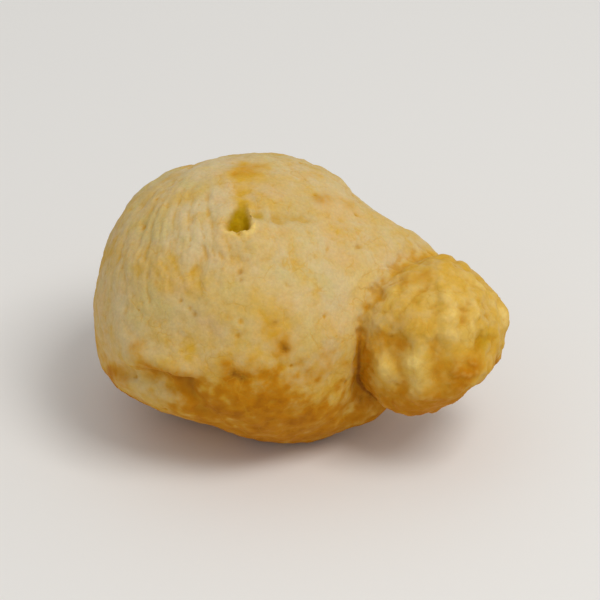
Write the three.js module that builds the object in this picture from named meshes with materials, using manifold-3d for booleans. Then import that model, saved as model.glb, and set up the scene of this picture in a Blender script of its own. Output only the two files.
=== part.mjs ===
// Cassava cheese bread: one baked piece, a puffed round body from which a knob of dough
// has burst on the front right side. Millimetres, +Z up, resting on the flat spot under it.
// The front of the bread faces -Y. The origin is under the middle of its box, on the table.
import * as THREE from "three";
import { mergeVertices } from "three/addons/utils/BufferGeometryUtils.js";
import Module from "manifold-3d";

// Driving dimensions
const bodyHalfSize = new THREE.Vector3(30.2, 29.6, 27.4);
const restHeight = 24; // from the middle of the body down to the table
const restBlend = 2; // rounding where the flat spot turns up into the side
const knobHalfSize = new THREE.Vector3(15, 15, 15);
const knobPlace = new THREE.Vector3(35, -12.5, 0); // from the middle of the body to that of the knob
const ventHalfSize = new THREE.Vector3(3.7, 1.6, 2.3); // steam vent: down the slope, across it, deep
const ventAzimuth = -95;
const ventElevation = 66;
const ventDrop = 0.2; // how far the middle of the vent lies under the crust

// Mesh fineness, as the number of cuts along each edge of the starting icosahedron
const bodyDetail = 19;
const knobDetail = 11;
const ventDetail = 5;

const crustColour = 0xcfa869;

// Direction from a ball's middle: azimuth 0 is +X, -90 the front, elevation is above level
function towards(azimuth, elevation) {
  const turn = THREE.MathUtils.degToRad(azimuth);
  const lift = THREE.MathUtils.degToRad(elevation);
  const level = Math.cos(lift);
  return new THREE.Vector3(level * Math.cos(turn), level * Math.sin(turn), Math.sin(lift));
}

// Relief is made of functions that give the height in mm above the plain ball in a direction.
// Widths are angles in degrees seen from the ball's middle, and a negative rise is a hollow.

// A rounded swelling
function swelling(azimuth, elevation, width, rise) {
  const middle = towards(azimuth, elevation);
  const spread = THREE.MathUtils.degToRad(width);
  return (direction) => rise * Math.exp(-((direction.angleTo(middle) / spread) ** 2));
}

// A fold or a crease along the arc between two directions
function fold(fromAzimuth, fromElevation, toAzimuth, toElevation, width, rise) {
  const from = towards(fromAzimuth, fromElevation);
  const to = towards(toAzimuth, toElevation);
  const axis = new THREE.Vector3().crossVectors(from, to).normalize();
  const length = from.angleTo(to);
  const spread = THREE.MathUtils.degToRad(width);
  const foot = new THREE.Vector3();
  return (direction) => {
    foot.copy(direction).projectOnPlane(axis).normalize();
    const between = foot.angleTo(from) <= length && foot.angleTo(to) <= length;
    const offArc = between
      ? direction.angleTo(foot)
      : Math.min(direction.angleTo(from), direction.angleTo(to));
    return rise * Math.exp(-((offArc / spread) ** 2));
  };
}

// Repeatable random numbers from 0 to 1
function seededRandom(seed) {
  let state = seed;
  return () => {
    state = (state * 16807) % 2147483647;
    return state / 2147483647;
  };
}

// Many swellings and hollows spread evenly over the ball, each with its own height
function unevenness(count, width, rise, seed) {
  const random = seededRandom(seed);
  const goldenTurn = 180 * (3 - Math.sqrt(5));
  return Array.from({ length: count }, (unused, i) => {
    const evenElevation = THREE.MathUtils.radToDeg(Math.asin(1 - (2 * i + 1) / count));
    const azimuth = i * goldenTurn + width * (random() - 0.5);
    const elevation = evenElevation + width * (random() - 0.5);
    return swelling(azimuth, elevation, width * (0.7 + 0.6 * random()), rise * (2 * random() - 1));
  });
}

// The smaller of two lengths, rounded off where they are within the blend of each other
function roundedMinimum(a, b, blend) {
  const overlap = Math.max(blend - Math.abs(a - b), 0) / blend;
  return Math.min(a, b) - (overlap * overlap * blend) / 4;
}

// Distance from a ball's middle to its skin in a direction
function skin(halfSize, relief) {
  const scaled = new THREE.Vector3();
  return (direction) => {
    const plain = 1 / scaled.copy(direction).divide(halfSize).length();
    return relief.reduce((reach, rise) => reach + rise(direction), plain);
  };
}

// The same, cut flat at a depth below the middle
function resting(reach, depth) {
  return (direction) => {
    const plain = reach(direction);
    return direction.z < 0 ? roundedMinimum(plain, depth / -direction.z, restBlend) : plain;
  };
}

// Closed ball whose points lie at the reach given, about its own middle
function puffedBall(reach, detail) {
  const geometry = new THREE.IcosahedronGeometry(1, detail);
  geometry.deleteAttribute("normal");
  geometry.deleteAttribute("uv");
  const ball = mergeVertices(geometry, 1e-5);
  const position = ball.getAttribute("position");
  const point = new THREE.Vector3();
  for (let i = 0; i < position.count; i++) {
    point.fromBufferAttribute(position, i).normalize();
    point.multiplyScalar(reach(point));
    position.setXYZ(i, point.x, point.y, point.z);
  }
  return ball;
}

const wasm = await Module();
wasm.setup();

function toSolid(geometry) {
  const vertProperties = new Float32Array(geometry.getAttribute("position").array);
  const triVerts = new Uint32Array(geometry.index.array);
  return new wasm.Manifold(new wasm.Mesh({ numProp: 3, vertProperties, triVerts }));
}

function toGeometry(solid) {
  const mesh = solid.getMesh();
  const geometry = new THREE.BufferGeometry();
  geometry.setAttribute("position", new THREE.BufferAttribute(mesh.vertProperties, 3));
  geometry.setIndex(new THREE.BufferAttribute(mesh.triVerts, 1));
  geometry.computeVertexNormals();
  return geometry;
}

const bodyRelief = [
  swelling(-3, 7, 23, 8), // shoulder drawn out towards the knob
  fold(-37, 20, -38, -14, 6, -2), // crust drawn in along the left of the knob
  swelling(24, 32, 14, -1.2), // dip above the shoulder
  swelling(-24, -30, 14, 5), // full belly under the knob
  swelling(-47, -47, 15, 2.3), // front of the base
  swelling(-120, -50, 20, -3.6), // front left, drawn in towards the base
  swelling(154, 34, 16, 0.8), // full upper left
  swelling(176, 6, 14, -0.8), // left side, a little flat
  fold(-141, 4, -117, 3, 6, 1.0), // fold at the lower left
  swelling(-134, 2, 8, 0.5), // lump at its left end
  fold(-137, -7, -115, -6, 4.5, -1.5), // crease under that fold
  fold(-110, -2, -107, -16, 4.5, -0.8), // its end, turned down
  fold(-142, -17, -114, -18, 6, 0.9), // lip under the crease
  fold(-80, 67, -40, 61, 5, -0.6), // shallow line from the vent to the right
  fold(-76, 72, -86, 56, 5, 0.8), // rim on the right of the vent
  fold(-104, 56, -88, 55, 4.5, 0.5), // rim under the vent
  fold(-96, 78, 90, 74, 6, -0.5), // shallow split from the vent over the crown
  fold(60, 30, 95, 22, 5, -1.0), // crease round the back
  swelling(78, 14, 10, 1.2), // blister under it
  swelling(150, -8, 10, 1.0), // blister at the left of the back
  ...unevenness(40, 18, 0.8, 11),
  ...unevenness(170, 7, 0.45, 23),
];

const knobRelief = [
  swelling(-30, -38, 28, -2.8), // lower right, a little flat
  swelling(-132, -42, 24, 1.6), // full lower left
  swelling(-92, -58, 18, -0.8), // underside, a little flat
  swelling(-102, 11, 11, 1.1), // lump in the middle of the front
  swelling(-128, 3, 10, 0.8), // smaller lump left of it
  swelling(-66, 2, 14, 0.8), // bulge right of it
  fold(-88, 24, -87, -22, 9, -1.0), // furrow left of the bulge
  fold(-116, 24, -114, -10, 9, -0.7), // furrow between the lumps
  fold(-68, 60, -75, 34, 9, 0.7), // ridges above the bulge
  fold(-36, 52, -52, 32, 9, 0.7),
  ...unevenness(60, 13, 1.0, 37),
];

// The vent's own directions: azimuth 0 is down the slope, elevation 90 is out of the crust
const ventRelief = [
  swelling(45, -15, 32, 0.6), // two lobes at the wide lower end
  swelling(-45, -15, 32, 0.6),
  swelling(180, -30, 60, -0.8), // shallow upper end
];

const bodyReach = resting(skin(bodyHalfSize, bodyRelief), restHeight);
const body = puffedBall(bodyReach, bodyDetail);

const knob = puffedBall(skin(knobHalfSize, knobRelief), knobDetail);
knob.translate(knobPlace.x, knobPlace.y, knobPlace.z);

const ventWay = towards(ventAzimuth, ventElevation);
const ventPlace = ventWay.clone().multiplyScalar(bodyReach(ventWay) - ventDrop);
const vent = puffedBall(skin(ventHalfSize, ventRelief), ventDetail);
vent.rotateY(THREE.MathUtils.degToRad(90 - ventElevation));
vent.rotateZ(THREE.MathUtils.degToRad(ventAzimuth));
vent.translate(ventPlace.x, ventPlace.y, ventPlace.z);

const loaf = toGeometry(toSolid(body).add(toSolid(knob)).subtract(toSolid(vent)));
loaf.computeBoundingBox();
const box = loaf.boundingBox.clone();
loaf.translate(-(box.min.x + box.max.x) / 2, -(box.min.y + box.max.y) / 2, -box.min.z);

const crust = new THREE.MeshStandardMaterial({ color: crustColour, roughness: 0.7, metalness: 0 });
const bread = new THREE.Mesh(loaf, crust);
bread.name = "bread";

const part = new THREE.Group();
part.add(bread);

export default part;
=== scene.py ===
import math

import bpy
import numpy as np
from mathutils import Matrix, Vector, noise


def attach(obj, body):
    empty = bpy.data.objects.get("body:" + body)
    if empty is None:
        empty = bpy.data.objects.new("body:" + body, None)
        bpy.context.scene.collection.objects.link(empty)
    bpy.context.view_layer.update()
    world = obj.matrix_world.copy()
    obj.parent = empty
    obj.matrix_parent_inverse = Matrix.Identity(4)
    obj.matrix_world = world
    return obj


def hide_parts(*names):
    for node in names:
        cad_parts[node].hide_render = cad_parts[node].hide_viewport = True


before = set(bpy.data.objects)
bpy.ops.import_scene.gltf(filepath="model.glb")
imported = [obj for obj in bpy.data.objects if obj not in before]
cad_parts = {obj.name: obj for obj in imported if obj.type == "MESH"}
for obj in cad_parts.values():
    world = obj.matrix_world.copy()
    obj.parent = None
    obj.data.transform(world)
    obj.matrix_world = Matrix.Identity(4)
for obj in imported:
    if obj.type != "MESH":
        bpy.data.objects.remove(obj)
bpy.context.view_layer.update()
scene = bpy.context.scene
print("frame loaded:", sorted(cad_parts))


# The relief and the marks are worked out in millimetres, in arrays with a row for each point.
# A place on the crust is a direction: azimuth 0 is +X and -90 the front, elevation is above level.

noiseKind = {
    "seedStep": (13.7, 5.1, -8.3),  # each seed reads the noise at a place of its own
    "cellStep": (7.7, -3.9, 11.3),
    "fade": 0.8,  # how fast the finer octaves grow weak
    "finer": 2.1,  # how much finer each of them is
}


def towards(azimuth, elevation):
    turn = math.radians(azimuth)
    lift = math.radians(elevation)
    return np.array((math.cos(lift) * math.cos(turn), math.cos(lift) * math.sin(turn), math.sin(lift)))


def unit(vectors):
    return vectors / np.linalg.norm(vectors, axis=-1, keepdims=True)


def ease(values, low, high):  # 0 below low, 1 above high, smooth between
    share = np.clip((values - low) / (high - low), 0, 1)
    return share * share * (3 - 2 * share)


def bell(values, width):  # 1 at zero, fading out on both sides
    return np.exp(-((values / width) ** 2))


def spot(ways, azimuth, elevation, width):
    apart = np.degrees(np.arccos(np.clip(ways @ towards(azimuth, elevation), -1, 1)))
    return bell(apart, width)


def stroke(ways, stops, width):  # soft line through a few directions
    mark = np.zeros(len(ways))
    for start, end in zip(stops, stops[1:]):
        first = towards(*start)
        along = towards(*end) - first
        share = np.clip((ways - first) @ along / (along @ along), 0, 1)
        nearest = unit(first + share[:, None] * along)
        apart = np.degrees(np.linalg.norm(ways - nearest, axis=1))
        mark = np.maximum(mark, bell(apart, width))
    return mark


def spots(ways, rows):
    return sum(strength * spot(ways, azimuth, elevation, width)
               for azimuth, elevation, width, strength in rows)


def strokes(ways, rows):
    return sum(strength * stroke(ways, stops, width) for stops, width, strength in rows)


def noiseAt(points, size, seed, octaves=2):
    offset = Vector([seed * step for step in noiseKind["seedStep"]])
    places = (Vector(p) / size + offset for p in points.tolist())
    return np.array([noise.fractal(p, noiseKind["fade"], noiseKind["finer"], octaves) for p in places])


def driftAt(points, size, seed):  # three noises at once, to make outlines uneven
    return np.stack([noiseAt(points, size, seed + i) for i in range(3)], axis=1)


def cellsAt(points, size, seed):  # distance to the nearest and the second nearest cell middle
    offset = Vector([seed * step for step in noiseKind["cellStep"]])
    found = [noise.voronoi(Vector(p) / size + offset)[0][:2] for p in points.tolist()]
    return np.array(found).T


class Skin:
    # the crust's points, faces and edges as arrays, in millimetres
    def __init__(self, mesh):
        self.mesh = mesh
        self.count = len(mesh.vertices)
        flat = np.empty(self.count * 3)
        mesh.vertices.foreach_get("co", flat)
        self.points = flat.reshape(-1, 3) * 1000
        corners = np.empty(len(mesh.loops), int)
        mesh.loops.foreach_get("vertex_index", corners)
        self.faces = corners.reshape(-1, 4)
        pairs = np.empty(len(mesh.edges) * 2, int)
        mesh.edges.foreach_get("vertices", pairs)
        self.edges = pairs.reshape(-1, 2)
        self.degree = np.bincount(pairs, minlength=self.count)

    def normals(self):
        a, b, c, d = (self.points[self.faces[:, i]] for i in range(4))
        across = np.cross(c - a, d - b)
        total = np.zeros_like(self.points)
        for corner in range(4):
            for axis in range(3):
                total[:, axis] += np.bincount(self.faces[:, corner], across[:, axis], self.count)
        return unit(total)

    def smoothed(self, values, times):  # each time half way to the mean of the neighbours
        columns = values.reshape(self.count, -1).copy()
        one, other = self.edges.T
        for turn in range(times):
            for axis in range(columns.shape[1]):
                column = columns[:, axis]
                around = np.bincount(one, column[other], self.count)
                around += np.bincount(other, column[one], self.count)
                columns[:, axis] = 0.5 * column + 0.5 * around / self.degree
        return columns.reshape(values.shape)

    def raiseBy(self, height):
        self.points += self.normals() * height[:, None]

    def hollowness(self, times):  # depth below the smoothed skin, above 0 in hollows
        inward = np.einsum("ij,ij->i", self.smoothed(self.points, times) - self.points, self.normals())
        return inward - np.median(inward)

    def paint(self, name, values):
        layer = self.mesh.attributes.new(name, "FLOAT", "POINT")
        layer.data.foreach_set("value", np.clip(values, 0, 1).astype(np.float32))

    def store(self):
        self.mesh.vertices.foreach_set("co", (self.points / 1000).ravel())
        self.mesh.update()


# Bread: an even fine skin over the rounded solid, then relief from large to small

breadForm = {
    "bodyMiddle": np.array((-10.4, -0.3, 24.0)),
    "knobMiddle": np.array((24.6, -12.8, 24.0)),
    "knobReach": 15.5,  # radius of the knob's ball
    "weldGap": 0.00001,  # metres here and in the spacing, as the modifiers take them
    "pointSpacing": 0.00045,
    "roundLevels": 2,
    "smoothShare": 0.5,
    "smoothTimes": 6,
}


def evenSkin(node):
    mesh = node.data.copy()
    mesh.materials.clear()
    work = bpy.data.objects.new("evenSkin", mesh)
    scene.collection.objects.link(work)
    weld = work.modifiers.new("weld", "WELD")
    weld.merge_threshold = breadForm["weldGap"]
    rounding = work.modifiers.new("rounding", "SUBSURF")
    rounding.levels = breadForm["roundLevels"]
    remesh = work.modifiers.new("remesh", "REMESH")
    remesh.mode = "VOXEL"
    remesh.voxel_size = breadForm["pointSpacing"]
    smooth = work.modifiers.new("smooth", "SMOOTH")
    smooth.factor = breadForm["smoothShare"]
    smooth.iterations = breadForm["smoothTimes"]
    bpy.context.view_layer.update()
    made = bpy.data.meshes.new_from_object(work.evaluated_get(bpy.context.evaluated_depsgraph_get()))
    bpy.data.objects.remove(work)
    bpy.data.meshes.remove(mesh)
    return Skin(made)


skin = evenSkin(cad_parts["bread"])
print("even skin:", skin.count, "points,", 2 * len(skin.faces), "triangles")

ventForm = {
    "at": (-95, 66),
    "topWidth": 0.9,  # half widths of the trough
    "lowWidth": 2.2,
    "topEnd": -5.2,  # ends, measured down the slope from its middle
    "lowEnd": 2.9,
    "lowBow": 0.10,
    "depth": 2.9,
    "topDepth": 0.25,  # share of the depth at the upper end
    "topColour": 0.3,  # share of the colour there
    "lobes": ((-1.0, 2.0), (0.9, 2.0)),  # deeper places in the floor, across and down the slope
    "lobeSpread": 0.7,
    "lobeDepth": 0.5,
    "leftWall": (0.1, 1.6),  # the left wall slopes, the right one is steep
    "rightWall": (0.4, 1.3),
    "lowWall": (-0.9, 0.6),
    "topWall": (-6.2, -2.7),
    "tears": 1.7,  # sizes of the unevenness of its edges
    "chips": 0.8,
    "widthTears": 0.35,
    "sideUneven": (0.45, 0.2),  # by tears and by chips
    "lowUneven": (0.9, 0.5),
    "lipHeight": 0.40,
    "lowLip": (1.0, 0.75),  # how far past the edge, and how wide
    "lowLipEnds": (0.9, 1.7),
    "rightLip": (0.6, 0.7),
    "rightLipTop": (-3.0, -0.5),
    "rightLipLow": (0.5, 1.8),
    "lipUneven": (0.7, 1.2, 0.8),  # plain share, tears and chips
    "lipShares": (0.1, 1.3),
    "around": (4.6, 7.0),  # the skin is laid anew inside the first reach and kept outside the second
    "ring": (5.5, 9.5),  # plain crust that it is fitted to
    "plainTimes": 120,
    "smoothTimes": 2,
}


def plainHeight(across, along, height, ring):  # the crust as it would be without the vent
    terms = (np.ones(skin.count), across, along, across ** 2, across * along, along ** 2)
    terms = np.stack(terms, axis=1)
    return terms @ np.linalg.lstsq(terms[ring], height[ring], rcond=None)[0]


def openVent():  # a trough that deepens down the slope and ends at a torn lip
    form = ventForm
    out = towards(*form["at"])
    right = unit(np.cross((0, 0, 1), out))
    ways = (right, np.cross(right, out), out)
    plainPoints = skin.smoothed(skin.points, form["plainTimes"])
    across, along, height = ((skin.points - breadForm["bodyMiddle"]) @ way for way in ways)
    apart = np.hypot(across, along)
    near = (1 - ease(apart, *form["around"])) * (height > 0)
    skin.points += near[:, None] * (plainPoints - skin.points)
    across, along, height = ((skin.points - breadForm["bodyMiddle"]) @ way for way in ways)
    ringStart, ringEnd = form["ring"]
    ring = (apart > ringStart) & (apart < ringEnd) & (height > 0)
    plain = plainHeight(across, along, height, ring)

    tears = noiseAt(skin.points, form["tears"], 91)
    chips = noiseAt(skin.points, form["chips"], 93)
    share = ease(along, form["topEnd"], form["lowEnd"])
    width = form["topWidth"] + share * (form["lowWidth"] - form["topWidth"]) + form["widthTears"] * tears
    byTears, byChips = form["sideUneven"]
    sideEdge = np.abs(across + byTears * tears + byChips * chips) / width
    byTears, byChips = form["lowUneven"]
    lowEdge = along - form["lowEnd"] + form["lowBow"] * across ** 2 + byTears * tears + byChips * chips
    walls = np.where(across < 0, ease(sideEdge, *form["leftWall"]), ease(sideEdge, *form["rightWall"]))
    inside = (1 - walls) * (1 - ease(lowEdge, *form["lowWall"]))
    inside *= ease(along, *form["topWall"]) * (height > 0)
    lobes = sum(np.exp(-((across - side) ** 2 + (along - down) ** 2) / form["lobeSpread"])
                for side, down in form["lobes"])
    depth = inside * (form["topDepth"] + (1 - form["topDepth"]) * share)
    depth *= form["depth"] + form["lobeDepth"] * lobes

    past, wide = form["lowLip"]
    lip = bell(lowEdge - past, wide) * (1 - ease(sideEdge, *form["lowLipEnds"]))
    past, wide = form["rightLip"]
    rightLip = bell(across - width - past, wide)
    lip += rightLip * ease(along, *form["rightLipTop"]) * (1 - ease(lowEdge, *form["rightLipLow"]))
    plainShare, byTears, byChips = form["lipUneven"]
    uneven = np.clip(plainShare + byTears * tears + byChips * chips, *form["lipShares"])
    lip = np.clip(lip, 0, 1) * (near > 0) * uneven
    laid = plain - depth + form["lipHeight"] * lip
    skin.points += (near * (laid - height))[:, None] * out
    skin.points += near[:, None] * (skin.smoothed(skin.points, form["smoothTimes"]) - skin.points)
    return inside * (form["topColour"] + (1 - form["topColour"]) * share), lip


neckForm = {
    "groove": (0.10, 0.50),  # hollowness that counts as the groove round the knob
    "grooveTimes": 30,
    "past": (1.0, 3.5),  # it fades out this far past the knob
    "spreadTimes": 6,
    "filletTimes": 30,
    "lowFillet": 0.65,  # share of the rounding low down, and the heights where it grows to all
    "fullFillet": (26, 33),
}


def roundNeck(pastKnob):
    groove = skin.hollowness(neckForm["grooveTimes"])
    mark = ease(groove, *neckForm["groove"]) * (1 - ease(pastKnob, *neckForm["past"]))
    low = neckForm["lowFillet"]
    share = low + (1 - low) * ease(skin.points[:, 2], *neckForm["fullFillet"])
    share *= skin.smoothed(mark, neckForm["spreadTimes"])
    skin.points += share[:, None] * (skin.smoothed(skin.points, neckForm["filletTimes"]) - skin.points)
    return mark


ventDepth, ventLip = openVent()
pastKnob = np.linalg.norm(skin.points - breadForm["knobMiddle"], axis=1) - breadForm["knobReach"]
neck = roundNeck(pastKnob)
print("vent and neck formed")

areas = {
    "drift": 5.0,  # sizes of the noise that makes marks and edges uneven
    "fineDrift": 1.6,
    "bodyDrift": (1.0, 0.15),  # how far each moves a mark
    "knobDrift": (0.9, 0.15),
    "knobEdge": (0.2, 2.2),  # how far past the knob its relief fades out
    "knobEdgeDrift": 0.8,
    "tintEnd": 4.0,  # how far past the knob its colour runs
    "tintHeld": 3.6,  # and how much less on the side of the body
    "tintHeldFrom": (-0.1, 0.5),
    "tintFade": (-2.2, 1.2),
    "tintDrift": (0.9, 0.25),
    "neckLow": (-0.26, -0.02),  # the low front of the neck, where its groove gets painted shade
    "neckFront": (0.15, 0.4),
    "floorRise": (0.05, 1.2),
}

startPoints = skin.points.copy()
drift = driftAt(startPoints, areas["drift"], 3)
fineDrift = driftAt(startPoints, areas["fineDrift"], 13)


def unevenWays(middle, shares):
    return unit(startPoints - middle + shares[0] * drift + shares[1] * fineDrift)


bodyWays = unit(startPoints - breadForm["bodyMiddle"])
knobWays = unit(startPoints - breadForm["knobMiddle"])
wavyBody = unevenWays(breadForm["bodyMiddle"], areas["bodyDrift"])
wavyKnob = unevenWays(breadForm["knobMiddle"], areas["knobDrift"])
onKnob = 1 - ease(pastKnob + areas["knobEdgeDrift"] * drift[:, 0], *areas["knobEdge"])
offKnob = 1 - onKnob
offFloor = ease(startPoints[:, 2], *areas["floorRise"])  # 0 on the flat spot under the bread
inward = knobWays @ unit(breadForm["bodyMiddle"] - breadForm["knobMiddle"])  # 1 towards the body
tintEnd = areas["tintEnd"] - areas["tintHeld"] * ease(inward, *areas["tintHeldFrom"])
tintDrift = areas["tintDrift"][0] * drift[:, 0] + areas["tintDrift"][1] * fineDrift[:, 1]
knobTint = 1 - ease(pastKnob + tintDrift - tintEnd, *areas["tintFade"])
neckFront = ease(-bodyWays[:, 2], *areas["neckLow"]) * ease(-bodyWays[:, 1], *areas["neckFront"])

stretchForm = {  # fine lines that run down the front from behind the crown, most left of the vent
    "from": (115, 60),
    "height": 0.56,
    "size": 0.60,
    "across": 7.5,  # noise scales across the lines and along them
    "along": 1.7,
    "drift": 0.14,
    "start": (0.30, 0.60),  # radians from where they fan out
    "end": (1.20, 1.65),
    "strongest": (-124, 47, 26),
    "elsewhere": 0.22,
}


def stretchMarks():
    form = stretchForm
    axis = towards(*form["from"])
    side = unit(np.cross(axis, (0, 0, 1)))
    up = np.cross(side, axis)
    turn = np.arctan2(bodyWays @ up, bodyWays @ side)
    opening = np.arccos(np.clip(bodyWays @ axis, -1, 1))
    across = form["across"]
    fan = np.stack((across * np.cos(turn), across * np.sin(turn), form["along"] * opening), axis=1)
    lines = noiseAt(fan + form["drift"] * drift, form["size"], 21, 3)
    reach = ease(opening, *form["start"]) * (1 - ease(opening, *form["end"]))
    strength = form["elsewhere"] + (1 - form["elsewhere"]) * spot(bodyWays, *form["strongest"])
    return lines * reach * strength * offKnob


def crackLines(size, seed):  # thin lines between plates of crust, only in places
    near, second = cellsAt(startPoints + 2.4 * drift + 0.4 * fineDrift, size, seed)
    lines = 1 - ease(second - near, 0.0, 0.09)
    return lines * ease(noiseAt(startPoints, 13.0, seed + 1), 0.12, 0.40)


def bumps(count, seed, widths, heights):
    draw = np.random.default_rng(seed)
    total = np.zeros(skin.count)
    for place in startPoints[draw.integers(0, skin.count, count)]:
        width = draw.uniform(*widths)
        apart = np.linalg.norm(startPoints + 0.35 * width * drift - place, axis=1)
        total += draw.uniform(*heights) * bell(apart, width)
    return total


def curds(size, seed, wobble):  # rounded lumps with soft furrows between, about zero
    near, second = cellsAt(startPoints + wobble * drift + 0.2 * fineDrift, size, seed)
    return 0.7 * (1 - ease(near, 0.0, 0.9)) + 0.3 * ease(second - near, 0.0, 0.30) - 0.5


relief = {
    "lumps": (7.0, 0.42),  # size and height
    "dimples": (2.9, 0.18),
    "gooseflesh": (2.1, 0.12),
    "leather": (1.5, 0.085),
    "grit": (0.9, 0.04),
    "curds": (8.2, 0.9),  # on the knob
    "smallCurds": (3.8, 0.42),
    "crumbs": (1.7, 0.24),
    "placedByHand": (-95, 20, 60),  # the side of the knob with lumps of its own, and few curds
    "fewCurds": 0.25,
    "cracks": (9.0, 0.08),  # size of the plates between them, and depth
    "blisters": (60, 31, (1.2, 2.8), (0.10, 0.40)),  # count, seed, widths, heights
    "pinholes": (150, 57, (0.35, 0.8), (0.10, 0.40)),
    "pits": (  # azimuth, elevation, width, depth
        (-94.5, 4, 2.5, 0.75),
        (-91.5, 2.5, 2.0, 0.55),
        (-75, 14, 2.0, 0.75),
        (-78, 23, 1.6, 0.30),
        (-112, 25, 1.2, 0.28),
        (-92, 43, 1.5, 0.42),
        (-91, 40, 1.2, 0.32),
        (-25, 38, 1.3, 0.34),
        (-2, 21, 1.3, 0.30),
    ),
    "ventPit": (-76, 68, 1.7, 0.22),
    "creases": (  # directions, width, height
        (((-130, -4), (-124, -2), (-118, 0), (-112, -1)), 2.6, -0.9),  # under the fold at the lower left
        (((-112, -1), (-110, -8), (-106, -15)), 2.8, -0.65),  # down from its right end
        (((-76, 68), (-58, 65), (-46, 63), (-34, 58)), 3.0, -0.45),  # right of the vent
        (((-105, 52), (-97, 53), (-86, 52)), 1.7, -0.18),
        (((-104, 48), (-97, 47), (-90, 47)), 1.6, -0.15),
        (((58, 30), (69, 30), (79, 24), (97, 23)), 3.2, -0.35),  # round the back
        (((126, 12), (134, 4), (146, 2)), 2.8, -0.35),
        (((108, 52), (122, 49), (131, 52)), 2.4, -0.30),
        (((20, 2), (30, -4), (42, -3)), 2.8, -0.40),
    ),
    "lips": (
        (((-136, 2), (-130, 3)), 4.6, 0.45),  # left and right half of the fold
        (((-122, 5), (-115, 4)), 3.4, 0.75),
        (((-142, -13), (-128, -9), (-119, -10)), 3.8, 0.75),  # pale lip below
        (((60, 25), (71, 24), (80, 18), (96, 17)), 4.0, 0.35),  # round the back
        (((132, 13), (141, 9), (149, 8)), 4.6, 0.40),
        (((22, -9), (32, -11), (42, -10)), 4.0, 0.35),
    ),
    "knobLumps": (
        (-102, 11, 8, 0.35),
        (-128, 3, 7, 0.3),
        (-103, 42, 17, 0.5),
        (-66, 3, 12, 0.3),
        (-98, -18, 11, 0.6),
        (-126, -22, 9, 0.4),
        (-10, 18, 12, 0.4),
        (-42, 22, 9, -0.4),
        (-152, 66, 9, -0.4),
        (-105, 77, 8, -0.4),
    ),
    "knobRidges": (
        (((-68, 60), (-75, 34)), 5, 0.3),
        (((-36, 52), (-52, 32)), 5, 0.35),
        (((-141, 18), (-116, 22), (-100, 25)), 6, -0.22),
        (((-82, 67), (-89, 30)), 6, -0.3),
        (((-50, 62), (-63, 36)), 6, -0.3),
        (((-20, 50), (-26, 10)), 6, 0.3),
    ),
}

stretch = stretchMarks()
blisters = bumps(*relief["blisters"])
pinholes = bumps(*relief["pinholes"])
crackSize, crackDepth = relief["cracks"]
cracks = crackLines(crackSize, 15) * offKnob


def largeRelief():  # curds, lumps, folds and blisters
    size, height = relief["curds"]
    byHand = spot(knobWays, *relief["placedByHand"])
    knobForm = height * (1 - (1 - relief["fewCurds"]) * byHand) * curds(size, 5, 1.6)
    size, height = relief["smallCurds"]
    knobForm += height * curds(size, 9, 0.7)
    size, height = relief["crumbs"]
    knobForm += height * curds(size, 17, 0.4) * ease(noiseAt(startPoints, 6.0, 19), -0.2, 0.3)
    knobForm += spots(wavyKnob, relief["knobLumps"]) + strokes(wavyKnob, relief["knobRidges"])
    bodyForm = strokes(wavyBody, relief["creases"]) + strokes(wavyBody, relief["lips"])
    return onKnob * knobForm + offKnob * bodyForm + blisters


def middlingRelief():  # lumps and dimples, stretch marks, cracks, pits and pinholes
    size, height = relief["lumps"]
    form = height * noiseAt(startPoints, size, 41, 3)
    size, depth = relief["dimples"]
    form -= depth * np.abs(noiseAt(startPoints, size, 43, 2))
    form *= 1 - 0.4 * onKnob
    form += stretchForm["height"] * stretch - crackDepth * cracks
    form -= spots(wavyBody, (*relief["pits"], relief["ventPit"])) * offKnob
    return form - pinholes


def fineRelief():  # smooth in places, coarser in others
    size, height = relief["leather"]
    form = height * noiseAt(startPoints, size, 61, 2)
    size, height = relief["grit"]
    form += height * noiseAt(startPoints, size, 63, 2)
    form *= (0.3 + 0.7 * ease(noiseAt(startPoints, 9.0, 65), -0.15, 0.3)) * (1 + onKnob)
    size, height = relief["gooseflesh"]
    pebbled = ease(noiseAt(startPoints, 12.0, 67), -0.1, 0.35)
    return form + height * pebbled * (0.5 - cellsAt(startPoints + 0.3 * fineDrift, size, 69)[0])


skin.raiseBy(largeRelief() * offFloor)
skin.raiseBy(middlingRelief() * offFloor)
skin.raiseBy(fineRelief() * (0.35 + 0.65 * offFloor))
skin.points[:, 2] = np.maximum(skin.points[:, 2], 0)
print("relief done")


# Marks on the crust, each a layer from 0 to 1 that the material reads

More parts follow.
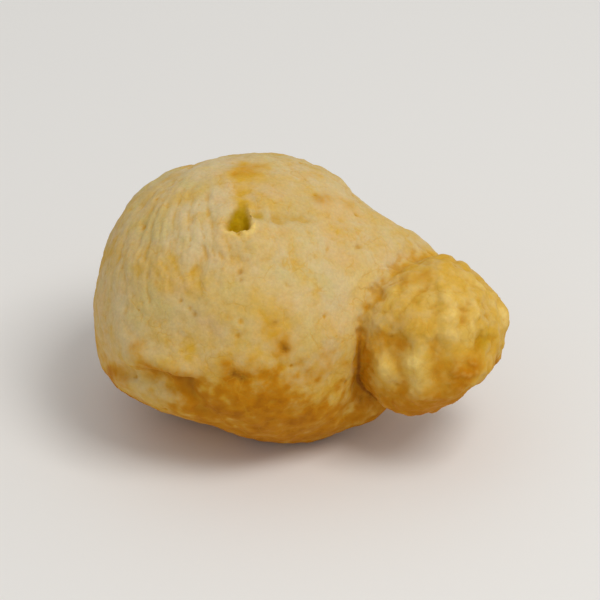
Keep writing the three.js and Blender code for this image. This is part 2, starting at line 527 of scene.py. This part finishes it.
marks = {
    "front": (-76, -12, 52),  # azimuth, elevation, width
    "frontBase": (-84, -12, 26),
    "neckFlank": (-38, 19, 14),
    "paleLip": (((-156, 4), (-147, -4), (-137, -10), (-125, -11)), 7),
    "backSpots": (22, 83, (1.2, 4.2), (0.4, 1.0)),  # count, seed, widths, strengths
    "freckles": (70, 97, (0.4, 1.0), (0.2, 0.7)),
    "baseSpecks": (90, 101, (0.5, 1.5), (0.3, 0.9)),
    "toastedBody": (  # azimuth, elevation, width, strength
        (80, 80, 7, 0.42),  # crown
        (142, 81, 5, 0.18),
        (-12, 60, 4, 0.30),
        (-2, 57, 5, 0.30),
        (-20, 46, 5, 0.26),
        (0, 47, 5, 0.24),
        (-133, 8, 4.5, 0.22),  # fold at the lower left
        (-131, 1, 7, 0.10),
        (-118, 1, 5.5, 0.45),
        (-128, -3, 4.5, 0.30),
        (-143, -10, 4.5, 0.35),
        (-75, 14, 5, 0.50),  # front
        (-93, 4, 5, 0.50),
        (-86, -9, 9, 0.22),
        (-101, -5, 6, -0.16),
        (-80, -25, 14, 0.14),
        (-88, 46, 5, 0.16),
        (-102, 53, 4, 0.14),
        (-78, 24, 6, 0.18),
        (-144, 36, 6, 0.12),
        (-78, -5, 10, 0.24),
        (-84, 23, 7, 0.14),
        # painted shadow of the knob on the body beside it
        (-59, 4, 8, 0.08),
        (-93, 11, 10, 0.10),
        (-86, -8, 8, 0.12),
        (-100, 24, 7, 0.10),
        (-52, -12, 8, -0.35),
    ),
    "toastedLines": (
        (((-112, -1), (-110, -8), (-106, -16)), 3.6, 0.60),
        (((-126, -1), (-119, 0), (-112, -2)), 2.6, 0.40),
        (((-168, 52), (-166, 38), (-162, 32)), 9, 0.12),  # left side
        (((58, 30), (69, 30), (79, 24), (97, 23)), 4, 0.24),  # round the back
        (((126, 12), (134, 4), (146, 2)), 4.0, 0.20),
        (((108, 52), (122, 49), (131, 52)), 3.0, 0.22),
        (((20, 2), (30, -4), (42, -3)), 3.2, 0.34),
    ),
    "toastedKnob": (
        (-70, 3, 12, 0.48),
        (-70, -4, 9, 0.40),
        (-47, 21, 6, 0.32),
        (-110, 80, 8, 0.22),
        (-152, 68, 9, 0.20),
        (-92, -38, 22, 0.26),
        (-30, -10, 18, 0.2),
        (-98, 40, 14, 0.08),
        (-58, 8, 8, 0.32),
        (-134, 17, 8, 0.18),
        (-122, 36, 10, 0.08),
    ),
    "toastedKnobLines": (
        (((-145, 8), (-147, -4), (-152, -30), (-158, -50)), 8, 0.55),
        (((-138, 25), (-122, 21), (-112, 23)), 6, 0.24),
        (((-88, 25), (-86, -2), (-87, -22)), 5, 0.18),
        (((-116, 20), (-115, 0), (-112, -14)), 5, 0.18),
    ),
    "gold": (
        (-78, 21, 14, 0.5),
        (-133, 37, 9, 0.45),
        (-84, 23, 9, 0.25),
        (142, 81, 6, 0.35),
        (-24, 53, 8, 0.25),
        (-63, 35, 7, 0.15),
        (-52, 47, 9, -0.25),
        # less gold in the painted shadow of the knob
        (-59, 4, 9, -0.30),
        (-134, 6, 6, -0.30),
        (-100, 24, 8, 0.15),
        (70, 84, 9, 0.45),
        (-90, 38, 6, 0.15),
        (-98, 47, 9, 0.35),
        (-5, 36, 34, 0.30),
        (-108, 18, 12, 0.22),
        (-20, 68, 10, -0.25),
    ),
    "goldLines": (
        (((87, 76), (61, 88), (-100, 80), (-96, 73)), 4.2, 0.8),  # from the vent over the crown
        (((-168, 52), (-166, 38), (-162, 32)), 11, 0.30),
        (((-108, 62), (-96, 60), (-82, 64)), 5, 0.25),
    ),
    # painted light on the body's flank beside the knob, where the knob shades it
    "flankPaintedLight": (
        (-34, 24, 8, 0.42),
        (-43, 12, 6, 0.25),
    ),
    "paleKnob": (
        (-103, 13, 7.5, 0.84),
        (-100, -2, 8, 0.52),
        (-123, 5, 8, 0.44),
        (-66, 30, 9, 0.25),
        (-70, 49, 8, 0.20),
        (-150, 52, 5, 0.30),
        (-8, 22, 8, 0.35),
        (0, 54, 6, 0.25),
        # these two rows are painted light on the knob's upper part, which the lamp leaves shaded
        (-86, 60, 24, 0.26),
        (-142, 58, 12, 0.12),
    ),
    "paleKnobLines": (
        (((-68, 60), (-75, 32)), 5.5, 0.28),
        (((-36, 52), (-54, 30)), 5.0, 0.30),
        (((-8, 62), (-6, 42), (-8, 22)), 9.0, 0.32),
    ),
    "oliveLines": (  # right of the vent
        (((-78, 68), (-74, 68)), 1.7, 0.50),
        (((-76, 68), (-58, 65), (-46, 63), (-34, 58)), 2.4, 0.24),
        (((-54, 62), (-42, 62)), 6.0, 0.10),
    ),
    "oliveKnob": ((-42, 20, 8, 0.55),),
    # painted shadow that the knob casts on the body
    "knobShadowOnBody": ((-59, 4, 9, 0.10),),
    "darkLines": ((((-127, -2), (-118, 0), (-112, -2), (-110, -8)), 1.8, 0.45),),
    "pitWidth": 0.8,  # dark of a pit, as a share of its width
}

hollow = skin.hollowness(12)
wideHollow = skin.hollowness(60)
level = np.degrees(np.arcsin(np.clip(wavyBody[:, 2], -1, 1)))
patches = noiseAt(startPoints, 7.0, 71, 3)
clouds = noiseAt(startPoints, 15.0, 73, 2)
flecks = noiseAt(startPoints, 2.6, 75, 3)
toFront = spot(bodyWays, *marks["front"])
toLip = stroke(wavyBody, *marks["paleLip"])
toNeck = spot(bodyWays, *marks["neckFlank"])

baseLook = {
    "line": -6,  # elevation that the brown of the base reaches, and what shifts it
    "front": 14,
    "paleLip": -20,
    "patches": 9,
    "clouds": 7,
    "flecks": 5,
    "fade": (-24, 30),
    "goldLine": 27,  # the same for the gold above it
    "goldPatches": 9,
    "goldFade": (0, 34),
    "goldBehind": 0.9,
    "goldOffLip": 0.6,
    "goldOffNeck": 0.4,
}


# partly the baked browning of the base, partly painted shade and warm bounce light, deepest in front and
# low down
def brownBaseAndShade():
    line = baseLook["line"] + baseLook["front"] * spot(bodyWays, *marks["frontBase"])
    line += baseLook["paleLip"] * toLip + baseLook["patches"] * patches
    line += baseLook["clouds"] * clouds + baseLook["flecks"] * flecks
    return ease(line - level, *baseLook["fade"]) * offKnob


def goldBelly():
    line = baseLook["goldLine"] + baseLook["goldPatches"] * patches
    share = baseLook["goldBehind"] + (1 - baseLook["goldBehind"]) * toFront
    share *= 1 - baseLook["goldOffLip"] * toLip - baseLook["goldOffNeck"] * toNeck
    return ease(line - level, *baseLook["goldFade"]) * share * offKnob


brownedAndShaded = brownBaseAndShade()

toastLook = {
    "base": (0.736, 0.32),  # plain and in patches
    "baseFlecks": (0.32, 0.25),  # all round, and more in front
    "baseSpecks": 0.40,
    "freckles": 0.5,
    "backSpots": 0.45,
    "pinholes": 0.35,
    "blisters": 0.18,
    "cracks": 0.06,
    "neck": 0.50,
    "knob": 0.17,
    "knobHollowShade": 0.2,
    "knobUnderBrowningAndShade": 0.55,
    "most": 0.82,
}


def scattered(name):
    return np.clip(bumps(*marks[name]), 0, 1)


def toastLayer():
    look = toastLook
    toast = offKnob * (spots(wavyBody, marks["toastedBody"]) + strokes(wavyBody, marks["toastedLines"]))
    toast += onKnob * spots(wavyKnob, marks["toastedKnob"])
    toast += (onKnob + neck * offKnob) * strokes(wavyKnob, marks["toastedKnobLines"])
    plain, patchy = look["base"]
    allRound, inFront = look["baseFlecks"]
    base = plain + patchy * patches + (allRound + inFront * toFront) * flecks
    toast += brownedAndShaded * (base + look["baseSpecks"] * scattered("baseSpecks"))
    toast += look["freckles"] * scattered("freckles") * offFloor
    toast += look["backSpots"] * scattered("backSpots") * ease(bodyWays[:, 1], 0.0, 0.4) * offKnob
    toast += look["pinholes"] * ease(pinholes, 0.12, 0.35)
    toast += look["blisters"] * ease(blisters, 0.18, 0.38) * ease(clouds, -0.1, 0.3)
    toast += look["cracks"] * cracks + look["neck"] * neck * neckFront + look["knob"] * knobTint
    # painted warm shade: browner in the knob's wide hollows
    toast += look["knobHollowShade"] * ease(wideHollow, 0.05, 0.5) * onKnob
    # browner towards the knob's underside: partly baked browning, partly painted shade and warm bounce
    # light from below
    toast += look["knobUnderBrowningAndShade"] * ease(-wavyKnob[:, 2], 0.05, 0.60) * onKnob
    return look["most"] * np.tanh(toast / look["most"])


goldLook = {
    "belly": 0.84,
    "knob": 0.9,
    "patches": 0.30,
    "stretch": 0.6,
    "cracks": 0.15,
    "vent": 0.6,
    "offNeck": 0.7,
}


def goldLayer():
    look = goldLook
    gold = spots(wavyBody, marks["gold"]) + strokes(wavyBody, marks["goldLines"])
    gold += look["patches"] * ease(patches, 0.05, 0.5) + look["stretch"] * np.clip(-stretch, 0, 1)
    gold += look["cracks"] * cracks
    gold = offKnob * gold + look["knob"] * knobTint + look["belly"] * goldBelly()
    return gold * (1 - look["offNeck"] * toNeck * offKnob) + look["vent"] * ventDepth


paleLook = {
    "knob": (0.75, 0.8),  # plain and in flecks
    "knobRidgePaleAndHighlight": 0.18,
    "ventLip": 0.70,
}


def paleLayer():
    plain, flecked = paleLook["knob"]
    pale = spots(wavyKnob, marks["paleKnob"]) + strokes(wavyKnob, marks["paleKnobLines"])
    # paler on the knob's ridges: partly the cheese's own pale colour, partly painted highlight
    pale = pale * (plain + flecked * flecks) + paleLook["knobRidgePaleAndHighlight"] * ease(-hollow, 0.04, 0.25)
    # on the body, pale is painted light on the flank beside the knob
    return onKnob * pale + offKnob * spots(bodyWays, marks["flankPaintedLight"]) + paleLook["ventLip"] * ventLip


oliveLook = {
    "vent": 1.5,
    "ventEdge": 0.6,
    "edgeTimes": 20,
}


# olive inside the vent, more towards its deep low end: partly the dough's own colour, partly painted shade
# in the hole
def oliveLayer():
    olive = oliveLook["vent"] * ventDepth
    olive += oliveLook["ventEdge"] * skin.smoothed(ventDepth, oliveLook["edgeTimes"])
    olive += offKnob * strokes(wavyBody, marks["oliveLines"])
    return olive + onKnob * spots(wavyKnob, marks["oliveKnob"])


# shares of painted shade in the neck's groove and in hollows
darkLook = {
    "neck": 0.95,
    "knobHollowShade": 0.2,
    "lowHollowShade": 0.25,
}


def darkLayer():  # painted shade, with some browning, in the groove of the neck, the creases at the lower left, hollows and pits
    pits = [(azimuth, elevation, marks["pitWidth"] * width, depth)
            for azimuth, elevation, width, depth in relief["pits"]]
    onBody = darkLook["lowHollowShade"] * ease(hollow, 0.10, 0.30) * ease(-level, -30, 10)
    onBody += spots(bodyWays, marks["knobShadowOnBody"]) + strokes(wavyBody, marks["darkLines"])
    onBody += spots(wavyBody, pits)
    # painted shade, darkest in the low front of the neck's groove
    dark = darkLook["neck"] * ease(neck, 0.20, 0.75) * neckFront
    dark += darkLook["knobHollowShade"] * ease(hollow, 0.08, 0.3) * onKnob
    return dark + offKnob * onBody


skin.paint("toast", toastLayer())
skin.paint("gold", goldLayer())
skin.paint("pale", paleLayer())
skin.paint("vent", oliveLayer())
skin.paint("crease", darkLayer())
# painted shade: above 0.5 in hollows, which the material blends towards tan; held back on the neck's flank
skin.paint("hollowShade", 0.5 + 2.5 * hollow * (1 - 0.9 * toNeck * offKnob))  # 0.5 is level crust
skin.store()
print("marks painted")


# Crust material

crustLook = {
    "cream": (0.636, 0.496, 0.260, 1),
    "honey": (0.606, 0.428, 0.152, 1),
    "straw": (0.600, 0.485, 0.205, 1),
    "peach": (0.675, 0.448, 0.215, 1),
    "gold": (0.645, 0.379, 0.043, 1),
    "pale": (0.850, 0.615, 0.185, 1),
    "tan": (0.605, 0.310, 0.020, 1),
    "toast": (0.490, 0.185, 0.002, 1),
    "dark": (0.300, 0.095, 0.002, 1),
    "olive": (0.450, 0.272, 0.002, 1),
    # colour of painted shade, with some browning, in grooves, creases, hollows and pits
    "crease": (0.285, 0.098, 0.004, 1),
    "broad": (95.0, 4),  # noise scale, per metre, and detail
    "tinge": (120.0, 3),
    "mottle": (190.0, 4),
    "blotch": (380.0, 4),
    "grain": (1700.0, 3),
    "honeySpan": (0.38, 0.66),  # from and to of a noise or layer, then the shares that they give
    "peachSpan": (0.53, 0.67, 0.0, 0.5),
    "strawSpan": (0.47, 0.35, 0.0, 0.7),
    "mottleSpan": (0.50, 0.72, 0.0, 0.22),
    "goldBlotch": (0.3, 0.7, 0.65, 1.15),
    "toastBlotch": (0.3, 0.7, 0.82, 1.15),
    "toastGrain": (0.3, 0.7, 0.90, 1.08),
    "toastSpan": (0.05, 0.55),
    "toastStops": (0.15, 0.62, 1.0),  # tan, toast and dark
    # painted shade in hollows
    "hollowShadeSpan": (0.5, 0.95, 0.0, 0.45),
    "speckleSpan": (0.3, 0.7, 0.95, 1.04),
    "roughSpan": (0.3, 0.7, 0.50, 0.66),
    "crackleScale": 230.0,
    "crackleShift": 0.003,
    "crackleLine": (0.0, 0.045, 1.0, 0.0),
    "cracklePlaces": (0.46, 0.62),
    "crackleTint": 0.35,
    "poreScale": 900.0,
    "poreSpan": (0.0, 0.32),
    "grainHeight": 0.8,  # shares of the bump
    "poreHeight": 0.35,
    "crackleHeight": 0.4,
    "bumpStrength": 0.35,
    "bumpDistance": 0.0003,
    "specular": 0.07,
    "subsurface": 0.15,
    "subsurfaceRadius": (1.0, 0.5, 0.15),
    "subsurfaceScale": 0.0015,
}


class Wiring:
    # short calls for making and joining nodes in one material
    def __init__(self, tree):
        self.tree = tree

    def add(self, kind, **values):
        made = self.tree.nodes.new(kind)
        for name, value in values.items():
            setattr(made, name, value)
        return made

    def feed(self, source, target):
        if isinstance(source, bpy.types.NodeSocket):
            self.tree.links.new(source, target)
        else:
            target.default_value = source

    def layer(self, name):
        return self.add("ShaderNodeAttribute", attribute_name=name).outputs["Fac"]

    def noise(self, place, scale, detail):
        made = self.add("ShaderNodeTexNoise")
        self.feed(place, made.inputs["Vector"])
        made.inputs["Scale"].default_value = scale
        made.inputs["Detail"].default_value = detail
        return made.outputs["Fac"]

    def reckon(self, operation, first, second):
        made = self.add("ShaderNodeMath", operation=operation)
        self.feed(first, made.inputs[0])
        self.feed(second, made.inputs[1])
        return made.outputs[0]

    def times(self, first, second):
        return self.reckon("MULTIPLY", first, second)

    def span(self, value, low, high, toLow=0.0, toHigh=1.0):
        made = self.add("ShaderNodeMapRange", interpolation_type="SMOOTHSTEP")
        self.feed(value, made.inputs["Value"])
        for name, number in (("From Min", low), ("From Max", high), ("To Min", toLow), ("To Max", toHigh)):
            made.inputs[name].default_value = number
        return made.outputs["Result"]

    def blend(self, share, under, over):
        made = self.add("ShaderNodeMix", data_type="RGBA")
        self.feed(share, made.inputs["Factor"])
        self.feed(under, made.inputs[6])  # the colour sockets A and B
        self.feed(over, made.inputs[7])
        return made.outputs[2]

    def ramp(self, value, stops):
        made = self.add("ShaderNodeValToRGB")
        self.feed(value, made.inputs["Fac"])
        elements = made.color_ramp.elements
        while len(elements) < len(stops):
            elements.new(0.5)
        for element, (at, colour) in zip(elements, stops):
            element.position = at
            element.color = colour
        return made.outputs["Color"]


def crackleLines(wire, place, mottle):  # hair lines between small plates, in places
    look = crustLook
    wander = wire.add("ShaderNodeTexNoise")
    wire.feed(place, wander.inputs["Vector"])
    wander.inputs["Scale"].default_value = look["blotch"][0]
    shift = wire.add("ShaderNodeVectorMath", operation="MULTIPLY_ADD")
    wire.feed(wander.outputs["Color"], shift.inputs[0])
    shift.inputs[1].default_value = [look["crackleShift"]] * 3
    wire.feed(place, shift.inputs[2])
    plates = wire.add("ShaderNodeTexVoronoi", feature="DISTANCE_TO_EDGE")
    wire.feed(shift.outputs["Vector"], plates.inputs["Vector"])
    plates.inputs["Scale"].default_value = look["crackleScale"]
    lines = wire.span(plates.outputs["Distance"], *look["crackleLine"])
    return wire.times(lines, wire.span(mottle, *look["cracklePlaces"]))


def crustColour(wire, noises, lines):
    look = crustLook
    blotch = noises["blotch"]
    colour = wire.blend(wire.span(noises["broad"], *look["honeySpan"]), look["cream"], look["honey"])
    colour = wire.blend(wire.span(noises["tinge"], *look["peachSpan"]), colour, look["peach"])
    colour = wire.blend(wire.span(noises["tinge"], *look["strawSpan"]), colour, look["straw"])
    colour = wire.blend(wire.span(noises["mottle"], *look["mottleSpan"]), colour, look["gold"])
    golden = wire.times(wire.layer("gold"), wire.span(blotch, *look["goldBlotch"]))
    colour = wire.blend(golden, colour, look["gold"])
    toasted = wire.times(wire.layer("toast"), wire.span(blotch, *look["toastBlotch"]))
    toasted = wire.times(toasted, wire.span(noises["grain"], *look["toastGrain"]))
    tones = (look["tan"], look["toast"], look["dark"])
    browns = wire.ramp(toasted, tuple(zip(look["toastStops"], tones)))
    colour = wire.blend(wire.span(toasted, *look["toastSpan"]), colour, browns)
    # painted shade: hollows blended towards tan
    colour = wire.blend(wire.span(wire.layer("hollowShade"), *look["hollowShadeSpan"]), colour, look["tan"])
    colour = wire.blend(wire.layer("pale"), colour, look["pale"])
    # painted shade in grooves, creases, hollows and pits
    colour = wire.blend(wire.layer("crease"), colour, look["crease"])
    colour = wire.blend(wire.layer("vent"), colour, look["olive"])
    colour = wire.blend(wire.times(lines, look["crackleTint"]), colour, look["tan"])
    speckle = wire.add("ShaderNodeHueSaturation")
    wire.feed(colour, speckle.inputs["Color"])
    wire.feed(wire.span(noises["grain"], *look["speckleSpan"]), speckle.inputs["Value"])
    return speckle.outputs["Color"]


def crustBump(wire, place, grain, lines):
    look = crustLook
    pores = wire.add("ShaderNodeTexVoronoi")
    wire.feed(place, pores.inputs["Vector"])
    pores.inputs["Scale"].default_value = look["poreScale"]
    poreHeight = wire.times(wire.span(pores.outputs["Distance"], *look["poreSpan"]), look["poreHeight"])
    height = wire.reckon("ADD", wire.times(grain, look["grainHeight"]), poreHeight)
    height = wire.reckon("SUBTRACT", height, wire.times(lines, look["crackleHeight"]))
    bump = wire.add("ShaderNodeBump")
    wire.feed(height, bump.inputs["Height"])
    bump.inputs["Strength"].default_value = look["bumpStrength"]
    bump.inputs["Distance"].default_value = look["bumpDistance"]
    return bump.outputs["Normal"]


def crustMaterial():
    look = crustLook
    material = bpy.data.materials.new("bakedCrust")
    material.use_nodes = True
    wire = Wiring(material.node_tree)
    shader = material.node_tree.nodes["Principled BSDF"]
    place = wire.add("ShaderNodeTexCoord").outputs["Object"]
    names = ("broad", "tinge", "mottle", "blotch", "grain")
    noises = {name: wire.noise(place, *look[name]) for name in names}
    lines = crackleLines(wire, place, noises["mottle"])
    wire.feed(crustColour(wire, noises, lines), shader.inputs["Base Color"])
    wire.feed(wire.span(noises["blotch"], *look["roughSpan"]), shader.inputs["Roughness"])
    wire.feed(crustBump(wire, place, noises["grain"], lines), shader.inputs["Normal"])
    shader.inputs["Specular IOR Level"].default_value = look["specular"]
    shader.inputs["Subsurface Weight"].default_value = look["subsurface"]
    shader.inputs["Subsurface Radius"].default_value = look["subsurfaceRadius"]
    shader.inputs["Subsurface Scale"].default_value = look["subsurfaceScale"]
    return material


skin.mesh.name = "breadCrust"
skin.mesh.materials.append(crustMaterial())
skin.mesh.polygons.foreach_set("use_smooth", [True] * len(skin.mesh.polygons))
crust = bpy.data.objects.new("breadCrust", skin.mesh)
scene.collection.objects.link(crust)
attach(crust, "root")
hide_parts("bread")
print("crust placed")


# Floor, light and camera, in metres

studio = {
    "floorHalf": 3.0,
    "floorColour": (0.82, 0.81, 0.79, 1),
    "floorRoughness": 0.75,
    "skyColour": (1.0, 0.995, 0.985, 1),
    "skyStrength": 0.555,
    "keyPlace": (0.38, -0.27, 0.83),
    "keySize": 0.42,
    "keyPower": 4.14,
    "keyColour": (1.0, 0.98, 0.95),
    "aim": (0.0, 0.0, 0.0235),
    "elevation": 33.2,
    "distance": 0.832,
    "lens": 259.2,  # millimetres, as is the sensor
    "sensor": 36,
    "clipStart": 0.05,
    "clipEnd": 20,
}


def makeFloor():
    half = studio["floorHalf"]
    corners = [(-half, -half, 0), (half, -half, 0), (half, half, 0), (-half, half, 0)]
    mesh = bpy.data.meshes.new("floor")
    mesh.from_pydata(corners, [], [(0, 1, 2, 3)])
    material = bpy.data.materials.new("paleFloor")
    material.use_nodes = True
    shader = material.node_tree.nodes["Principled BSDF"]
    shader.inputs["Base Color"].default_value = studio["floorColour"]
    shader.inputs["Roughness"].default_value = studio["floorRoughness"]
    mesh.materials.append(material)
    floor = bpy.data.objects.new("floor", mesh)
    scene.collection.objects.link(floor)


def makeLight():
    world = bpy.data.worlds.new("softSky")
    world.use_nodes = True
    sky = world.node_tree.nodes["Background"]
    sky.inputs["Color"].default_value = studio["skyColour"]
    sky.inputs["Strength"].default_value = studio["skyStrength"]
    scene.world = world
    lamp = bpy.data.lights.new("key", "AREA")
    lamp.size = studio["keySize"]
    lamp.energy = studio["keyPower"]
    lamp.color = studio["keyColour"]
    key = bpy.data.objects.new("key", lamp)
    key.location = studio["keyPlace"]
    key.rotation_mode = "QUATERNION"
    key.rotation_quaternion = (Vector(studio["aim"]) - key.location).to_track_quat("-Z", "Y")
    scene.collection.objects.link(key)


def makeCamera():
    data = bpy.data.cameras.new("camera")
    data.lens = studio["lens"]
    data.sensor_width = studio["sensor"]
    data.clip_start = studio["clipStart"]
    data.clip_end = studio["clipEnd"]
    camera = bpy.data.objects.new("camera", data)
    lift = math.radians(studio["elevation"])
    back = Vector((0, -math.cos(lift), math.sin(lift)))
    camera.location = Vector(studio["aim"]) + back * studio["distance"]
    camera.rotation_mode = "QUATERNION"
    camera.rotation_quaternion = (-back).to_track_quat("-Z", "Y")
    scene.collection.objects.link(camera)
    scene.camera = camera


makeFloor()
makeLight()
makeCamera()
scene.view_settings.view_transform = "Standard"
print("studio ready")
